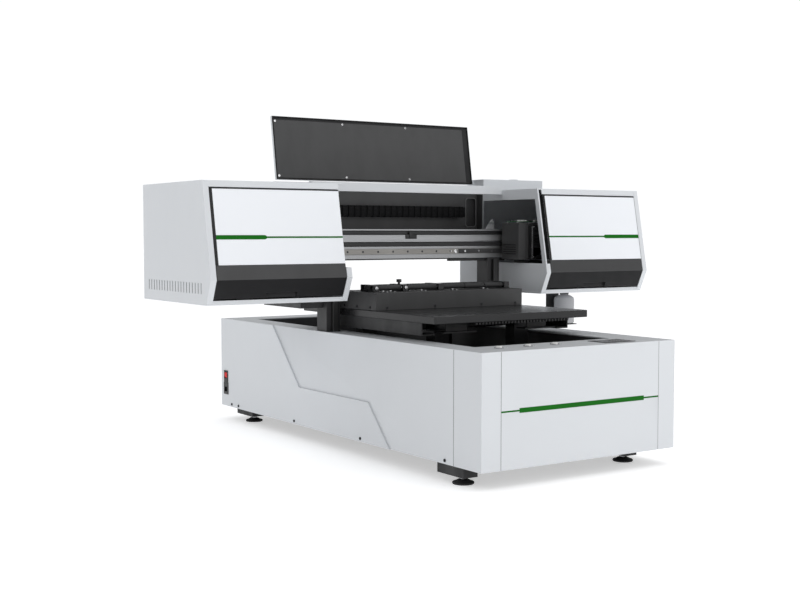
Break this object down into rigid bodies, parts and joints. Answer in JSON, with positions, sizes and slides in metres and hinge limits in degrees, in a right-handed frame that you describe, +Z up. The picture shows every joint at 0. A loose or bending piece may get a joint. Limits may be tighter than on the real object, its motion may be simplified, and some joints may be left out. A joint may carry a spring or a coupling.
{
  "type": "flatbed uv printer",
  "caption": "Flatbed UV printer: long base with a sliding bed, a lifting head with two doored side boxes, an open lid and a print carriage.",
  "frame": {"origin": "on the floor under the middle of the machine's bounding box", "axes": "+X to the operator's right along the long head, +Y away from the operator, +Z up"},
  "size_m": [1.54, 1.42, 0.97],
  "materials": {
    "white_coat": "fine textured powder coat, semi-matt",
    "door_white": "smooth satin powder coat",
    "visor_dark": "dark grey satin",
    "dark_coat": "matt dark powder coat",
    "frame_steel": "black paint",
    "bed_black": "black anodised",
    "raw_aluminium": "drawn, clear anodised",
    "rail_steel": "ground steel",
    "black_plastic": "moulded",
    "red_plastic": "glossy",
    "bottle_grey": "blow moulded",
    "pad_rubber": "matt",
    "stripe_green": "satin"
  },
  "bodies": {
    "base": {"base_frame": "frame_steel", "left_side_panel": "white_coat", "right_side_panel": "white_coat", "front_panel": "white_coat", "front_stripe": "stripe_green", "front_corner_posts": "white_coat", "rear_panel": "white_coat", "deck_plates": "white_coat", "trough_pan": "dark_coat", "foot_brackets": "frame_steel", "foot_studs": "rail_steel", "foot_pads": "pad_rubber", "keypad": "black_plastic", "button_bezels": "rail_steel", "power_inlet": "black_plastic", "bed_rails": "rail_steel", "base_bearings": "rail_steel", "drive_motors": "black_plastic"},
    "head": {"lift_posts": "dark_coat", "head_rails": "rail_steel", "left_box_covers": "white_coat", "right_box_covers": "white_coat", "inner_cheeks": "white_coat", "centre_covers": "white_coat", "back_wall": "dark_coat", "beam": "raw_aluminium", "belt_drive": "black_plastic", "energy_chain": "black_plastic", "ink_tanks": "black_plastic", "capping_station": "black_plastic", "light_housing": "white_coat", "under_brackets": "dark_coat", "waste_bottle": "bottle_grey"},
    "bed": {"bed_bearings": "rail_steel", "bed_saddle": "raw_aluminium", "bed_plate": "bed_black", "bed_supports": "dark_coat", "bed_channels": "dark_coat", "rotary_housing": "dark_coat", "roller_blocks": "dark_coat"},
    "carriage": {"carriage_frame": "dark_coat", "carriage_cover": "dark_coat", "print_heads": "raw_aluminium", "uv_lamp": "black_plastic"},
    "lid": {"lid_tray": "white_coat", "lid_liner": "dark_coat"},
    "left_door": {"left_door_leaf": "door_white", "left_door_visor": "visor_dark"},
    "right_door": {"right_door_leaf": "door_white", "right_door_visor": "visor_dark"},
    "front_roller": {"front_roller": "rail_steel"},
    "rear_roller": {"rear_roller": "rail_steel"},
    "bed_screw": {"bed_screw": "rail_steel"},
    "left_lift_screw": {"left_lift_screw": "rail_steel"},
    "right_lift_screw": {"right_lift_screw": "rail_steel"},
    "belt_pulley": {"drive_pulley": "rail_steel"},
    "left_button": {"left_button": "rail_steel"},
    "middle_button": {"middle_button": "rail_steel"},
    "right_button": {"right_button": "rail_steel"},
    "rocker": {"power_rocker": "red_plastic"}
  },
  "joints": [
    {"name": "bed_slide", "type": "slide", "parent": "base", "child": "bed", "axis": [0, 1, 0], "range_m": [-0.24, 0.42]},
    {"name": "head_lift", "type": "slide", "parent": "base", "child": "head", "axis": [0, 0, 1], "range_m": [-0.04, 0.05]},
    {"name": "carriage_slide", "type": "slide", "parent": "head", "child": "carriage", "axis": [1, 0, 0], "range_m": [-0.7, 0]},
    {"name": "lid_hinge", "type": "hinge", "parent": "head", "child": "lid", "pos_m": [0, 0.25, 0.773], "axis": [1, 0, 0], "range_deg": [0, 99]},
    {"name": "left_door_hinge", "type": "hinge", "parent": "head", "child": "left_door", "pos_m": [-0.56, -0.11553, 0.7365], "axis": [-1, 0, 0], "range_deg": [0, 80]},
    {"name": "right_door_hinge", "type": "hinge", "parent": "head", "child": "right_door", "pos_m": [0.56, -0.11553, 0.7365], "axis": [-1, 0, 0], "range_deg": [0, 80]},
    {"name": "rear_roller_turn", "type": "hinge", "parent": "bed", "child": "rear_roller", "pos_m": [0, -0.047, 0.4625], "axis": [1, 0, 0], "continuous": true},
    {"name": "front_roller_turn", "type": "hinge", "parent": "bed", "child": "front_roller", "pos_m": [0, -0.093, 0.4625], "axis": [1, 0, 0], "continuous": true},
    {"name": "bed_screw_turn", "type": "hinge", "parent": "base", "child": "bed_screw", "pos_m": [0, 0, 0.242], "axis": [0, 1, 0], "range_deg": [-4400, 7600]},
    {"name": "left_lift_screw_turn", "type": "hinge", "parent": "base", "child": "left_lift_screw", "pos_m": [-0.293, 0.12, 0.2], "axis": [0, 0, 1], "range_deg": [-3000, 3700]},
    {"name": "right_lift_screw_turn", "type": "hinge", "parent": "base", "child": "right_lift_screw", "pos_m": [0.293, 0.12, 0.2], "axis": [0, 0, 1], "range_deg": [-3000, 3700]},
    {"name": "belt_pulley_turn", "type": "hinge", "parent": "head", "child": "belt_pulley", "pos_m": [-0.567, 0.024, 0.601], "axis": [0, 0, 1], "range_deg": [-3700, 3700]},
    {"name": "rocker_tilt", "type": "hinge", "parent": "base", "child": "rocker", "pos_m": [-0.327, 0.674, 0.147], "axis": [0, 1, 0], "range_deg": [0, 14]},
    {"name": "left_button_push", "type": "slide", "parent": "base", "child": "left_button", "axis": [0, 0, -1], "range_m": [0, 0.002], "stiffness_N_per_m": 600, "springref_m": -0.0008},
    {"name": "middle_button_push", "type": "slide", "parent": "base", "child": "middle_button", "axis": [0, 0, -1], "range_m": [0, 0.002], "stiffness_N_per_m": 600, "springref_m": -0.0008},
    {"name": "right_button_push", "type": "slide", "parent": "base", "child": "right_button", "axis": [0, 0, -1], "range_m": [0, 0.002], "stiffness_N_per_m": 600, "springref_m": -0.0008}
  ],
  "couplings": [
    {"joint": "front_roller_turn", "follows": "rear_roller_turn", "ratio": 1},
    {"joint": "bed_screw_turn", "follows": "bed_slide", "rad_per_m": 314.16},
    {"joint": "left_lift_screw_turn", "follows": "head_lift", "rad_per_m": 1256.6},
    {"joint": "right_lift_screw_turn", "follows": "head_lift", "rad_per_m": 1256.6},
    {"joint": "belt_pulley_turn", "follows": "carriage_slide", "rad_per_m": 86.9}
  ]
}
